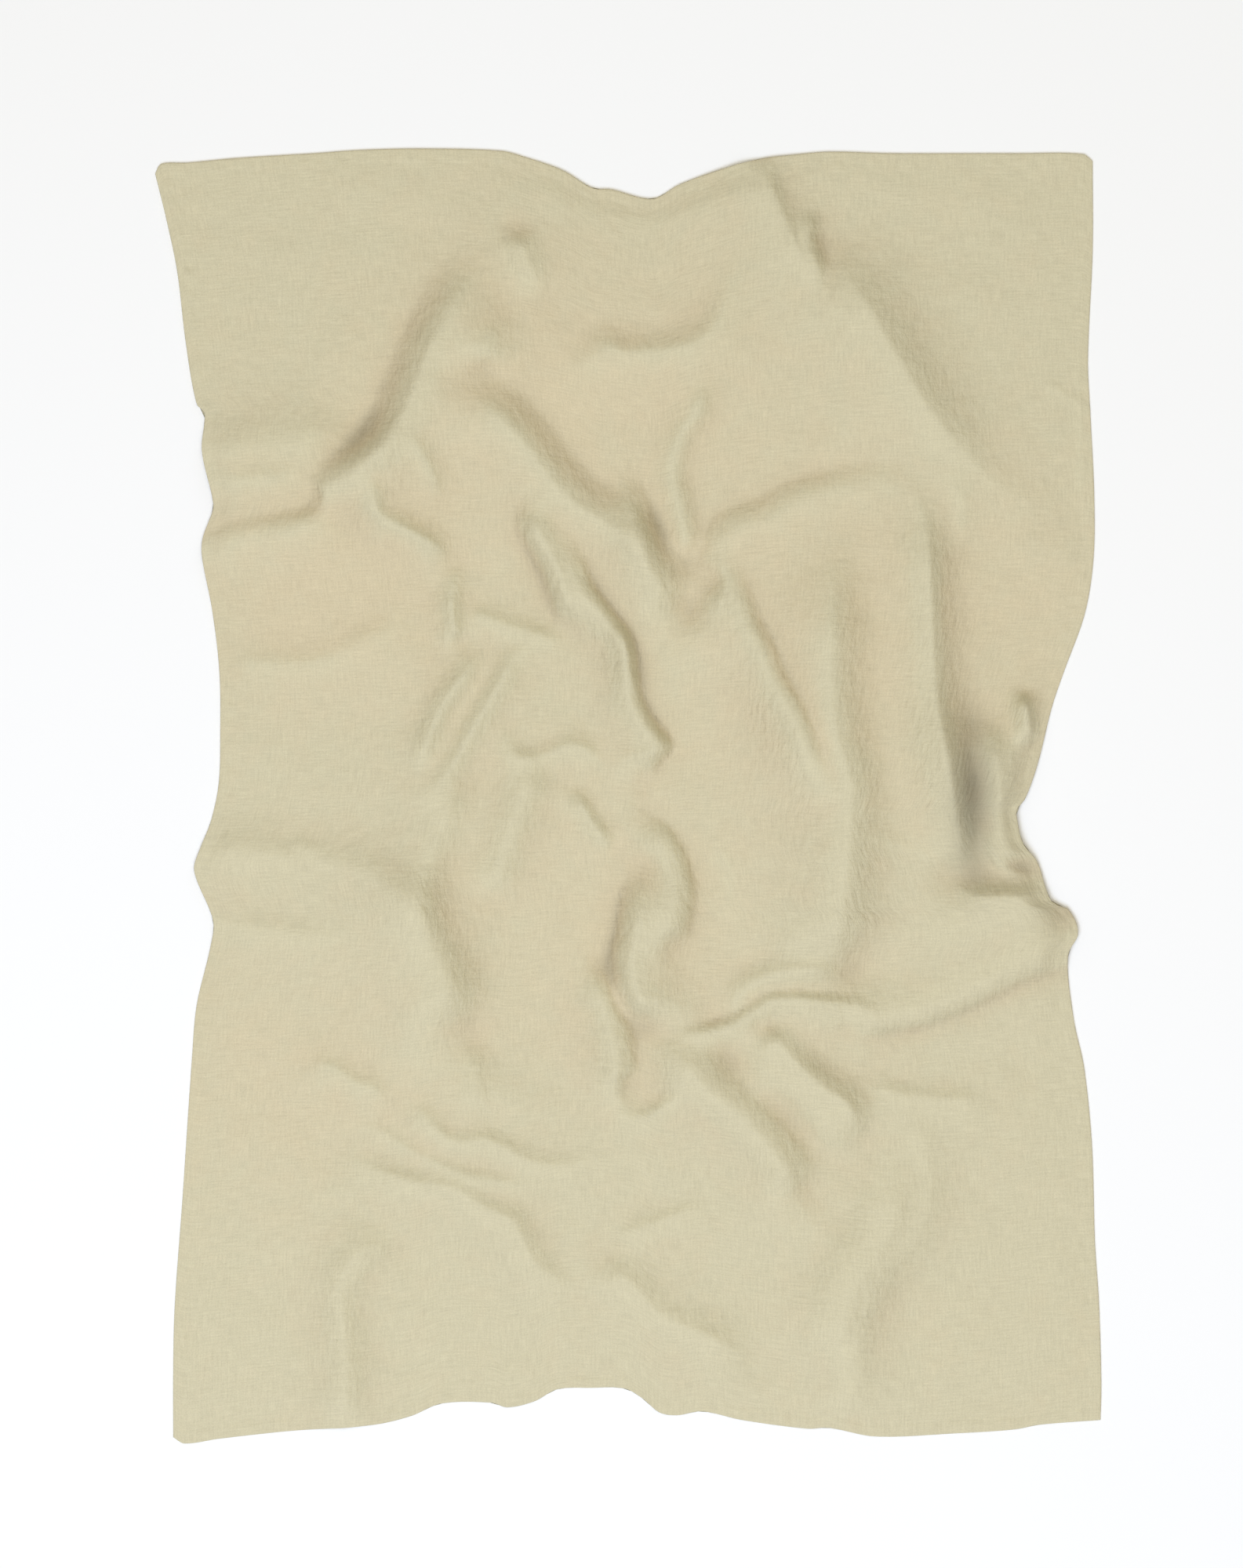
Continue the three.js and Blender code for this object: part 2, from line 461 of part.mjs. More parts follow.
const cover = new THREE.Group();
cover.add(panel('back_panel', backGrid, back, middle, () => false));
cover.add(panel('front_panel', frontGrid, front, middle, bendsAcross));

export default cover;
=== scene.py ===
"""The crumpled duvet cover, dressed as in its photograph.

Two sheets of linen lie on the folds of the part's two panels, with finer creases than the panels
have, a soft sewn edge and the cloth's weave. Lengths are in metres unless a name says otherwise.
"""

import math
from collections import namedtuple

import bpy
import numpy as np
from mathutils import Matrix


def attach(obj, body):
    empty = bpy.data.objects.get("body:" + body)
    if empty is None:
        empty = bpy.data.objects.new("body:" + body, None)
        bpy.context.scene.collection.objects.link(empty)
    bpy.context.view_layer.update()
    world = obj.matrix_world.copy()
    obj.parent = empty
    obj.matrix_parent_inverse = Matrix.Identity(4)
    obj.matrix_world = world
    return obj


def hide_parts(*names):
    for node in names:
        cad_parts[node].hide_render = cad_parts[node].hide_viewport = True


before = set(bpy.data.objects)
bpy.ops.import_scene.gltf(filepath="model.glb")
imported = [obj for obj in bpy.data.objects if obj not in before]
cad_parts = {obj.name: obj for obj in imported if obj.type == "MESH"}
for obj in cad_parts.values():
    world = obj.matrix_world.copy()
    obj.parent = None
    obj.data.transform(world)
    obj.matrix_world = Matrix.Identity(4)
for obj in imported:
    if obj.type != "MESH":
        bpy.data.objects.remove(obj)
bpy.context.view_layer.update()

# The photograph looks straight down, so its pixels are a plan of the cover.
# Outlines and fold routes are pixel places, x to the right and y down.
MM_IN_M = 1000
PIXEL_MM = 1.15
MIDDLE = (801.0, 1014.7)  # the pixel place over the origin
FRAME_CENTRE = (792.5, 1000.0)  # the pixel place that the camera looks at
FRAME_PIXELS = 2000  # the photograph's long side

# The cloth, in millimetres where a name ends in MM
FLAT_SIZE = (1.4, 2.0)
SHEET_MM = 2.0
LAYER_GAP_MM = 0.5
EDGE_HOLD = 0.35  # share of a fold's height that is left at the very edge
EDGE_REACH_MM = 55
SEAM_GAP_MM = 0.12
FLOOR_CLEARANCE_MM = 0.3

# The grid's lines: close together at the edge, where the cloth turns under, and even inside
RIM_LINES_MM = (0, 0.3, 0.8, 1.5, 4, 8, 12, 15, 17, 21)
FRONT_CELL_MM = 5.5
BACK_CELL_MM = 14
RIM_ROUND_MM = 1.5

# The seam allowance, which shows through the cloth inside the edge, and the puckers beside its line
ALLOWANCE_MM = 16
ALLOWANCE_RISE_MM = 0.5
ALLOWANCE_STEP_MM = 4
PUCKER_MM = 0.45
PUCKER_REACH_MM = 9
PUCKER_WAVE_MM = 22
PUCKER_SEED = 31

# The power by which an edge's bends die away towards the far edge
EDGE_FADE = 3

# The outline, each edge from left to right or from top to bottom. The ends of each are the cover's corners.
EDGES = {
    "top": [
        (198, 222), (204, 210), (239, 208), (303, 202), (401, 196), (457, 192), (536, 190), (639, 193),
        (670, 201), (718, 218), (755, 240), (779, 242), (832, 254), (866, 236), (925, 215), (970, 203),
        (1010, 198), (1057, 194), (1136, 196), (1298, 196), (1381, 197), (1393, 206),
    ],
    "bottom": [
        (221, 1833), (235, 1841), (279, 1835), (370, 1825), (477, 1817), (524, 1806), (563, 1790),
        (627, 1789), (647, 1795), (682, 1787), (710, 1772), (753, 1770), (797, 1771), (820, 1784),
        (840, 1801), (863, 1805), (895, 1800), (946, 1811), (1029, 1822), (1057, 1821), (1116, 1832),
        (1219, 1828), (1294, 1823), (1326, 1817), (1403, 1811),
    ],
    "left": [
        (198, 222), (212, 279), (226, 346), (237, 437), (251, 516), (261, 527), (258, 575), (271, 634),
        (272, 650), (259, 686), (258, 710), (271, 780), (280, 858), (281, 937), (279, 1000), (269, 1048),
        (255, 1084), (248, 1111), (272, 1174), (269, 1206), (251, 1282), (245, 1349), (233, 1527),
        (223, 1665), (221, 1744), (221, 1833),
    ],
    "right": [
        (1393, 206), (1393, 318), (1387, 460), (1390, 528), (1395, 634), (1394, 713), (1383, 783),
        (1356, 858), (1341, 902), (1322, 977), (1306, 1020), (1296, 1032), (1296, 1044), (1304, 1076),
        (1322, 1099), (1341, 1151), (1361, 1159), (1374, 1190), (1361, 1218), (1369, 1301), (1382, 1361),
        (1392, 1460), (1396, 1586), (1401, 1661), (1404, 1764), (1403, 1811),
    ],
}

# Walking along a fold's route, the cloth is high on the right hand and drops on the left.
# rise is the crest's height, face the width of its steep side and reach that of its gentle side, in mm.
# start and finish are the shares of the route over which the fold grows and dies away.
# bend is 1 for a sharp crest, and more for a crest that rolls over before it drops.
# With a foot of 1 the fold ends in a crisp line along its route, and with 0 it levels out around it.
Fold = namedtuple("Fold", "name rise face reach start finish bend foot route")
FOLDS = [
    # the raised middle, from its left shoulder round to its right one
    Fold("left_shoulder", 48, 36, 110, 0.26, 0.45, 1.25, 0.6,
         [(398, 628), (416, 611), (443, 590), (469, 566), (488, 538), (508, 490), (528, 441),
          (553, 390), (578, 351), (604, 320), (628, 292)]),
    Fold("shoulder_foot", 28, 28, 45, 0.12, 0.5, 1.3, 0.6,
         [(395, 628), (413, 608), (438, 590), (469, 566), (490, 535), (503, 502)]),
    Fold("shoulder_nose", 25, 24, 50, 0.3, 0.55, 1.3, 0, [(666, 288), (677, 321), (690, 352), (706, 386)]),
    Fold("nose_inner", 26, 40, 50, 0.7, 0.3, 1.35, 0, [(652, 392), (648, 425), (636, 455), (622, 478)]),
    Fold("upper_arc", 20, 22, 70, 0.3, 0.4, 1.35, 0,
         [(688, 472), (739, 457), (774, 437), (799, 443), (841, 441), (882, 431), (908, 407),
          (927, 351), (945, 300)]),
    Fold("shoulder_upper", 23, 15, 85, 0.1, 0.4, 1.3, 0,
         [(972, 200), (992, 250), (1008, 290), (1028, 336), (1053, 376)]),
    Fold("shoulder_dimple", 28, 17, 24, 0.3, 0.3, 1.2, 0.6,
         [(1050, 277), (1040, 299), (1045, 326), (1059, 357)]),
    Fold("right_shoulder", 50, 46, 115, 0.22, 0.6, 1.15, 0,
         [(1075, 297), (1096, 342), (1122, 386), (1142, 423), (1167, 464), (1192, 505), (1223, 544),
          (1255, 578), (1289, 607), (1335, 633), (1380, 665)]),
    # the valley across the middle and the plateau right of it
    Fold("cross_valley", 43, 38, 95, 0.2, 0.12, 1.35, 0.6,
         [(599, 478), (640, 506), (678, 543), (718, 593), (753, 628), (789, 652), (816, 671),
          (837, 698), (864, 739), (888, 766)]),
    Fold("rib_a", 21, 20, 28, 0.2, 0.15, 1.3, 0.5,
         [(916, 486), (898, 531), (877, 566), (868, 604), (877, 646), (885, 686), (887, 717)]),
    Fold("valley_end", 34, 26, 36, 0.3, 0.5, 1.3, 0.7,
         [(816, 608), (821, 637), (829, 666), (838, 694), (846, 718), (856, 746)]),
    Fold("rib_c", 7, 18, 25, 0.35, 0.35, 1.3, 0, [(1208, 590), (1230, 640), (1237, 700)]),
    Fold("rib_d", 5, 15, 25, 0.35, 0.35, 1.3, 0, [(906, 1050), (932, 1100), (935, 1140), (918, 1190)]),
    Fold("rib_e", 4, 17, 25, 0.35, 0.35, 1.3, 0, [(1097, 520), (1075, 570), (1056, 608)]),
    Fold("plateau_top", 19, 34, 110, 0.05, 0.5, 1.6, 0.8,
         [(898, 736), (899, 693), (912, 671), (934, 654), (970, 642), (1019, 618), (1083, 601),
          (1135, 598), (1174, 610), (1197, 642)]),
    Fold("plateau_right", 50, 28, 75, 0.3, 0.3, 1.15, 0,
         [(1158, 590), (1184, 650), (1192, 700), (1195, 760), (1198, 826), (1203, 900), (1213, 960),
          (1222, 1010), (1230, 1060), (1234, 1115)]),
    Fold("slant", 34, 26, 60, 0.35, 0.3, 1.5, 0.8,
         [(926, 691), (934, 712), (950, 750), (967, 794), (985, 828), (999, 863), (1023, 907),
          (1040, 952), (1058, 995), (1091, 1028)]),
    Fold("furrow", 66, 52, 115, 0.3, 0.12, 1.3, 0,
         [(1095, 660), (1085, 710), (1081, 760), (1078, 851), (1082, 921), (1096, 973), (1103, 1020),
          (1099, 1080), (1095, 1129), (1088, 1188), (1092, 1214), (1100, 1238)]),
    # the pinched waist at the right edge
    Fold("hollow_wall", 28, 36, 85, 0.4, 0.25, 1.15, 0,
         [(1204, 850), (1211, 910), (1220, 960), (1227, 1010), (1235, 1060), (1238, 1100),
          (1236, 1140)]),
    Fold("hollow_side", 40, 28, 60, 0.15, 0.3, 1.15, 0,
         [(1296, 1112), (1272, 1074), (1263, 1029), (1257, 985), (1251, 950), (1246, 912)]),
    Fold("hollow_lip", 14, 9, 16, 0.3, 0.3, 1.1, 0,
         [(1262, 1056), (1270, 1086), (1290, 1108), (1324, 1112)]),
    Fold("seam_line", 4, 4, 9, 0.15, 0.15, 1.2, 0.5,
         [(1378, 440), (1377, 480), (1380, 530), (1379, 590), (1381, 650)]),
    Fold("seam_crease", 4, 6, 12, 0.3, 0, 1.2, 0.5, [(1328, 484), (1352, 495), (1385, 518)]),
    Fold("right_gather", 44, 12, 20, 0.35, 0.3, 1.2, 0, [(1307, 880), (1312, 912), (1320, 950)]),
    Fold("bulge_top", 44, 18, 95, 0.35, 0.45, 1.2, 0,
         [(1213, 1108), (1239, 1133), (1290, 1135), (1329, 1133), (1368, 1148)]),
    Fold("bulge_line", 28, 34, 60, 0, 0.12, 1.8, 0.9,
         [(1386, 1224), (1341, 1239), (1292, 1258), (1243, 1283), (1188, 1306), (1141, 1316),
          (1086, 1327)]),
    Fold("right_line", 11, 12, 60, 0.25, 0.25, 1.3, 0,
         [(1099, 1378), (1149, 1389), (1200, 1395), (1265, 1397)]),
    # the creases down the middle
    Fold("centre_crease", 37, 23, 45, 0.35, 0.12, 1.6, 0.9,
         [(724, 659), (736, 696), (747, 717), (758, 747), (777, 774), (797, 801), (809, 827),
          (814, 855), (821, 893), (835, 920), (853, 943), (854, 957), (841, 975), (828, 1002)]),
    Fold("centre_dark", 24, 14, 22, 0.35, 0.4, 1.3, 0.7,
         [(790, 787), (802, 807), (808, 831), (811, 857), (818, 889)]),
    Fold("centre_lower", 33, 34, 34, 0.3, 0.15, 1.6, 0.9,
         [(811, 1019), (828, 1040), (850, 1055), (867, 1077), (877, 1099), (884, 1126), (884, 1150),
          (879, 1179), (872, 1211)]),
    Fold("crease_beside", 41, 24, 34, 0.25, 0.25, 1.5, 0.8,
         [(718, 804), (705, 766), (690, 725), (672, 693), (652, 655)]),
    Fold("arch", 14, 12, 30, 0.3, 0.3, 1.3, 0,
         [(650, 919), (659, 958), (691, 960), (725, 947), (754, 956), (781, 988)]),
    Fold("arch_inner", 20, 12, 28, 0.3, 0.3, 1.3, 0, [(734, 1001), (757, 1043), (788, 1085)]),
    Fold("arch_soft", 30, 34, 45, 0.25, 0.25, 1.35, 0,
         [(703, 969), (678, 1026), (654, 1094), (635, 1160)]),
    Fold("spoon", 52, 34, 70, 0.2, 0.35, 1.5, 0.9,
         [(815, 1319), (793, 1281), (783, 1249), (781, 1216), (786, 1191), (795, 1141), (809, 1096)]),
    Fold("spoon_bowl", 38, 32, 40, 0.3, 0.15, 1.3, 0.8,
         [(778, 1225), (788, 1262), (799, 1300), (807, 1340), (812, 1380)]),
    Fold("crack", 3, 5, 10, 0.2, 0.3, 1.2, 0.5, [(980, 1272), (978, 1300), (984, 1330), (984, 1365)]),
    # the left side
    Fold("left_band_high", 25, 52, 120, 0, 0.4, 1.7, 0,
         [(242, 566), (302, 556), (352, 547), (402, 540), (453, 521)]),
    Fold("left_band_thin", 9, 14, 25, 0, 0.4, 1.3, 0, [(256, 606), (300, 608), (350, 604), (395, 598)]),
    Fold("left_band", 17, 30, 60, 0, 0.3, 1.5, 0.9,
         [(241, 693), (267, 680), (319, 665), (360, 657), (400, 653), (455, 657)]),
    Fold("left_faint", 11, 20, 60, 0.2, 0.4, 1.3, 0,
         [(280, 834), (350, 839), (412, 834), (482, 800), (546, 767)]),
    Fold("arc_a", 29, 17, 40, 0.25, 0.25, 1.05, 0,
         [(488, 604), (490, 649), (524, 671), (557, 690), (583, 713)]),
    Fold("arc_b", 13, 14, 25, 0.35, 0.35, 1.3, 0, [(520, 546), (545, 581), (560, 615), (566, 646)]),
    Fold("notch_small", 26, 14, 25, 0.6, 0.15, 1.1, 0, [(596, 718), (585, 751), (584, 786), (590, 817)]),
    Fold("shelf", 12, 13, 35, 0.2, 0.3, 1.3, 0, [(593, 771), (646, 792), (696, 808), (732, 815)]),
    Fold("vee_left", 27, 18, 24, 0.3, 0.3, 1.05, 0,
         [(519, 994), (540, 939), (561, 893), (586, 858), (614, 818)]),
    Fold("vee_right", 26, 20, 24, 0.25, 0.3, 1.05, 0,
         [(698, 830), (664, 847), (642, 885), (614, 929), (594, 967), (570, 1006), (544, 1040)]),
    Fold("left_ridge", 15, 30, 95, 0, 0.4, 1.3, 0,
         [(230, 1084), (301, 1074), (360, 1079), (417, 1085), (477, 1102), (519, 1122)]),
    Fold("left_drop", 50, 44, 130, 0.6, 0.2, 1.7, 0,
         [(426, 1051), (457, 1080), (494, 1112), (529, 1139), (555, 1177), (578, 1228), (593, 1271),
          (613, 1311)]),
    Fold("mid_slope", 30, 34, 90, 0.3, 0.3, 1.3, 0,
         [(600, 979), (583, 1048), (562, 1097), (554, 1151), (572, 1205)]),
    Fold("left_ridge_low", 8, 18, 60, 0, 0.4, 1.3, 0,
         [(261, 1168), (329, 1177), (400, 1184), (470, 1182)]),
    Fold("left_spot", 6, 9, 10, 0.35, 0.35, 1.2, 0, [(378, 1066), (392, 1078), (408, 1074)]),
    # the lower right, under the plateau
    Fold("arch_low_top", 18, 18, 26, 0.3, 0.25, 1.3, 0.3,
         [(913, 1303), (928, 1272), (948, 1250), (977, 1236), (1012, 1229), (1052, 1228),
          (1079, 1238)]),
    Fold("arch_low", 22, 15, 34, 0.22, 0.35, 1.3, 0.8,
         [(846, 1309), (885, 1308), (925, 1299), (955, 1282), (980, 1267), (1012, 1264), (1055, 1268),
          (1100, 1274), (1135, 1281)]),
    Fold("low_slash", 48, 42, 55, 0.22, 0.2, 1.3, 0.5,
         [(872, 1308), (898, 1345), (920, 1371), (957, 1400), (996, 1442), (1021, 1476), (1045, 1517)]),
    Fold("low_slash_far", 22, 34, 34, 0.3, 0.3, 1.4, 0.5,
         [(1072, 1490), (1042, 1448), (1007, 1410), (962, 1382), (922, 1355)]),
    Fold("low_slash_b", 32, 24, 45, 0.15, 0.25, 1.3, 0,
         [(979, 1302), (997, 1321), (1025, 1351), (1054, 1378), (1085, 1401), (1110, 1451)]),
    Fold("notch_roll", 5, 18, 110, 0.2, 0.25, 1.6, 0,
         [(640, 222), (700, 238), (760, 264), (830, 277), (880, 263), (930, 242), (975, 233)]),
    Fold("low_valley", 40, 62, 48, 0.3, 0.25, 1.15, 0,
         [(1043, 1770), (1045, 1700), (1054, 1652), (1075, 1606), (1103, 1563), (1113, 1515),
          (1087, 1475)]),
    Fold("low_ridge", 12, 34, 60, 0.2, 0.1, 1.35, 0,
         [(1156, 1378), (1185, 1450), (1197, 1520), (1178, 1585), (1138, 1627), (1115, 1676),
          (1099, 1748), (1088, 1823)]),
    # the shallow folds of the lower third
    Fold("foot_a", 14, 15, 40, 0.3, 0.3, 1.3, 0,
         [(389, 1344), (427, 1355), (455, 1374), (481, 1384), (501, 1414)]),
    Fold("foot_b", 15, 14, 35, 0.15, 0.5, 1.3, 0,
         [(525, 1392), (557, 1433), (585, 1450), (619, 1447), (648, 1459), (684, 1476), (731, 1478),
          (802, 1459)]),
    Fold("foot_c", 10, 12, 22, 0.3, 0.3, 1.3, 0,
         [(434, 1428), (479, 1435), (518, 1458), (559, 1478), (609, 1496), (660, 1505), (720, 1508)]),
    Fold("foot_d", 22, 20, 60, 0.3, 0.2, 1.2, 0,
         [(420, 1460), (480, 1483), (530, 1498), (580, 1506), (620, 1530), (658, 1548), (676, 1580),
          (696, 1610), (750, 1645)]),
    Fold("foot_e", 21, 24, 60, 0.15, 0.3, 1.2, 0,
         [(777, 1598), (817, 1633), (848, 1665), (888, 1685), (924, 1703), (970, 1740)]),
    Fold("foot_f", 11, 11, 35, 0.3, 0.4, 1.3, 0, [(774, 1579), (833, 1554), (913, 1527)]),
    Fold("foot_g", 18, 11, 28, 0.5, 0.5, 1.3, 0, [(780, 1416), (820, 1419), (850, 1402), (881, 1381)]),
    Fold("foot_h", 13, 18, 30, 0.35, 0.35, 1.3, 0, [(608, 1327), (614, 1372), (616, 1425)]),
    Fold("foot_i", 27, 28, 40, 0.2, 0, 1.2, 0,
         [(516, 1594), (471, 1605), (446, 1647), (450, 1701), (453, 1760), (450, 1824)]),
]

# Air under the front panel lifts it in broad swells: rise in mm, places and sizes in pixels
Swell = namedtuple("Swell", "name rise centre across along")
SWELLS = [
    Swell("crown", 14, (760, 470), 330, 190),
    Swell("east", 16, (1060, 900), 230, 330),
    Swell("west", 10, (650, 900), 260, 260),
    Swell("foot", 8, (720, 1500), 330, 200),
]

# Painted light and shade: crests are painted a little greener and lighter than the hollows between them,
# standing in for the cool key light on the crests and the warm shade in the hollows.
# The rates are for each mm that the cloth stands out from its surroundings, and the ranges limit what they
# come to.
CREST_REACH_MM = 26
CREST_PAINTED_COOL_LIGHT = 0.09
CREST_LIGHT = 0.009
CREST_LIGHT_RANGE = (-0.07, 0.02)
HOLLOW_SHADE = 0.03
HOLLOW_SHADE_RANGE = (-0.42, 0)
HOLLOW_FROM_MM = 7  # only hollows deeper than this get the extra shade
WARMTH_RANGE = (-0.3, 1.3)

# How fast the cloth gets finely wrinkled where it is steep
WRINKLING = 1.1

# How the folds are worked out, as in the part's source
ROUTE_SAMPLES = 40  # points tried between two of a route's own
ROUTE_STEP = 9  # pixels between a route's evenly spaced points
NEAR_SOFTENING = 60  # square pixels within which a route's points count alike
NEAR_POWER = 2  # how much more the near points count than the far ones
CREST_OFFSET = 0.5  # the share of its face between a route and its crest, and twice that with a foot of 1
REACH_CURVE = 1.6  # how roundly a gentle side falls away
END_ROUNDING = 0.8  # how soon a fold dies away past its ends
SWELL_FALL = 1.2  # how soon a swell dies away from its centre
WINDOW = 4.0  # a fold is left out beyond this many times its reach

# Random heights are sums of waves, whose lengths vary by these shares
WAVE_COUNT = 28
WAVE_SPREAD = (0.7, 1.5)

# Fine unevenness of the cloth, with wavelengths and rises in mm
Waves = namedtuple("Waves", "seed wavelength rise")
UNEVENNESS = [Waves(11, 190, 0.9), Waves(12, 85, 0.45), Waves(13, 38, 0.16)]

# Colours and light. The high key light is a little cool and the rest warm, so folds turn warm brown.
LINEN_WARM = (0.656, 0.568, 0.382)
LINEN_GREEN = (0.627, 0.5735, 0.394)
FLOOR_COLOUR = (0.95, 0.95, 0.95)
WORLD_COLOUR = (1.0, 0.87, 0.652)
WORLD_STRENGTH = 0.34
LINEN_ROUGHNESS = 0.92
LINEN_SHEEN = 0.05
FLOOR_ROUGHNESS = 0.9
FLOOR_REACH = 12
CAMERA_LENS_MM = 120
CAMERA_FAR = 50
Lamp = namedtuple("Lamp", "name power size place colour")
LAMPS = [
    Lamp("key", 440, 4.5, (-1.3, -3.5, 7.4), (0.66, 0.77, 1.0)),
    Lamp("overhead", 305, 7.0, (0.0, 0.0, 9.0), (1.0, 0.962, 0.817)),
    Lamp("fill", 32, 3.0, (2.5, 5.5, 3.0), (0.62, 0.82, 1.0)),
]

# Where the linen is warmer than at its corners: pixel places and sizes
Patch = namedtuple("Patch", "amount centre across along")
WARM_PATCHES = [
    Patch(0.8, (720, 480), 260, 200),
    Patch(0.9, (420, 760), 180, 160),
    Patch(0.7, (1020, 800), 160, 240),
    Patch(0.6, (360, 1380), 170, 160),
    Patch(0.7, (1300, 760), 110, 150),
    Patch(0.5, (760, 1180), 200, 200),
]

# Painted shade over the pocket at the waist, which keeps most of the light out
PAINTED_POCKET_SHADES = [Patch(0.44, (1237, 1018), 25, 90)]

# The weave and its fine relief are noises over the flat cloth, which is measured in metres.
# A stretch is how finely a noise varies across, along and through the cloth.
WARP_STRETCH = (360, 34, 1)
WEFT_STRETCH = (30, 380, 1)
WRINKLE_STRETCH = (110, 45, 1)
PATCH_SCALE = 14
GRAIN_SCALE = 430
BROAD_CLOUD_SCALE = 9
SMALL_CLOUD_SCALE = 31
CRUMPLE_SCALE = 60
CLOUD_TINT = 0.9
STREAK_SHARE = 0.6
GRAIN_SHARE = 0.4
THREAD_RANGE = (0.3, 0.7)
THREAD_TONES = (0.845, 1.155)
THREAD_RELIEF = 0.0008
CRUMPLE_RELIEF = 0.0018
WRINKLE_RELIEF = 0.0036

# The cloth as a grid: shares across and down, plan and heights in mm, and tints, which carry painted light
# and shade.
# edge is the distance from the nearest edge in mm, and freedom grows from 0 there to 1 inside.
Cloth = namedtuple("Cloth", "u v x y height freedom edge warmth shade wrinkled")


def ease(share):
    share = np.clip(share, 0, 1)
    return share * share * (3 - 2 * share)


def mix(a, b, share):
    return a + (b - a) * share


def curve_over(points, start, to):
    """A smooth curve through the points, as one coordinate over the other."""
    points = np.array(points, dtype=float)
    last = len(points) - 2

    def at(value):
        i = np.clip(np.searchsorted(points[1:-1, start], value), 0, last)
        a, b = points[i], points[i + 1]
        before, after = points[np.maximum(i - 1, 0)], points[np.minimum(i + 2, last + 1)]
        span = b[..., start] - a[..., start]
        t = np.clip((value - a[..., start]) / span, 0, 1)
        slope_a = (b[..., to] - before[..., to]) / (b[..., start] - before[..., start]) * span
        slope_b = (after[..., to] - a[..., to]) / (after[..., start] - a[..., start]) * span
        lead = t * (1 - t) ** 2 * slope_a
        trail = t * t * (1 - t) * slope_b
        return mix(a[..., to], b[..., to], ease(t)) + lead - trail

    return at


TOP_AT = curve_over(EDGES["top"], 0, 1)
BOTTOM_AT = curve_over(EDGES["bottom"], 0, 1)
LEFT_AT = curve_over(EDGES["left"], 1, 0)
RIGHT_AT = curve_over(EDGES["right"], 1, 0)
TOP_LEFT, TOP_RIGHT = EDGES["top"][0], EDGES["top"][-1]
BOTTOM_LEFT, BOTTOM_RIGHT = EDGES["bottom"][0], EDGES["bottom"][-1]
WIDTH_MM = (TOP_RIGHT[0] - TOP_LEFT[0]) * PIXEL_MM
LENGTH_MM = (BOTTOM_LEFT[1] - TOP_LEFT[1]) * PIXEL_MM


def place_at(u, v):
    """The pixel place of a share u of the way across and v of the way down.

    Straight lines join the corners, and each edge's own bends are added, dying away towards the far edge.
    """
    top_x = mix(TOP_LEFT[0], TOP_RIGHT[0], u)
    bottom_x = mix(BOTTOM_LEFT[0], BOTTOM_RIGHT[0], u)
    left_x = mix(TOP_LEFT[0], BOTTOM_LEFT[0], v)
    right_x = mix(TOP_RIGHT[0], BOTTOM_RIGHT[0], v)
    top_y = mix(TOP_LEFT[1], TOP_RIGHT[1], u)
    bottom_y = mix(BOTTOM_LEFT[1], BOTTOM_RIGHT[1], u)
    left_y = mix(TOP_LEFT[1], BOTTOM_LEFT[1], v)
    right_y = mix(TOP_RIGHT[1], BOTTOM_RIGHT[1], v)
    left_bend = (LEFT_AT(left_y) - left_x) * (1 - u) ** EDGE_FADE
    right_bend = (RIGHT_AT(right_y) - right_x) * u**EDGE_FADE
    top_bend = (TOP_AT(top_x) - top_y) * (1 - v) ** EDGE_FADE
    bottom_bend = (BOTTOM_AT(bottom_x) - bottom_y) * v**EDGE_FADE
    x = mix(left_x, right_x, u) + left_bend + right_bend
    y = mix(top_y, bottom_y, v) + top_bend + bottom_bend
    return x, y


def walk(route):
    """Evenly spaced points along a smooth route, and the direction at each."""
    knots = np.array([route[0], *route, route[-1]], dtype=float)
    t = np.linspace(0, len(route) - 1, ROUTE_SAMPLES * (len(route) - 1) + 1)
    i = np.minimum(t.astype(int), len(route) - 2)
    w = (t - i)[:, None]
    p0, p1, p2, p3 = (knots[i + k] for k in range(4))
    m1, m2 = (p2 - p0) / 2, (p3 - p1) / 2
    line = (2 * p1 - 2 * p2 + m1 + m2) * w**3 + (3 * p2 - 3 * p1 - 2 * m1 - m2) * w**2 + m1 * w + p1
    steps = np.hypot(*np.diff(line, axis=0).T)
    along = np.concatenate([[0], np.cumsum(steps)])
    count = max(round(along[-1] / ROUTE_STEP), 4) + 1
    at = np.linspace(0, along[-1], count)
    points = np.stack([np.interp(at, along, line[:, k]) for k in (0, 1)], axis=1)
    heading = np.stack([np.interp(at, along, np.gradient(line[:, k], along)) for k in (0, 1)], axis=1)
    return points, heading / np.hypot(*heading.T)[:, None]


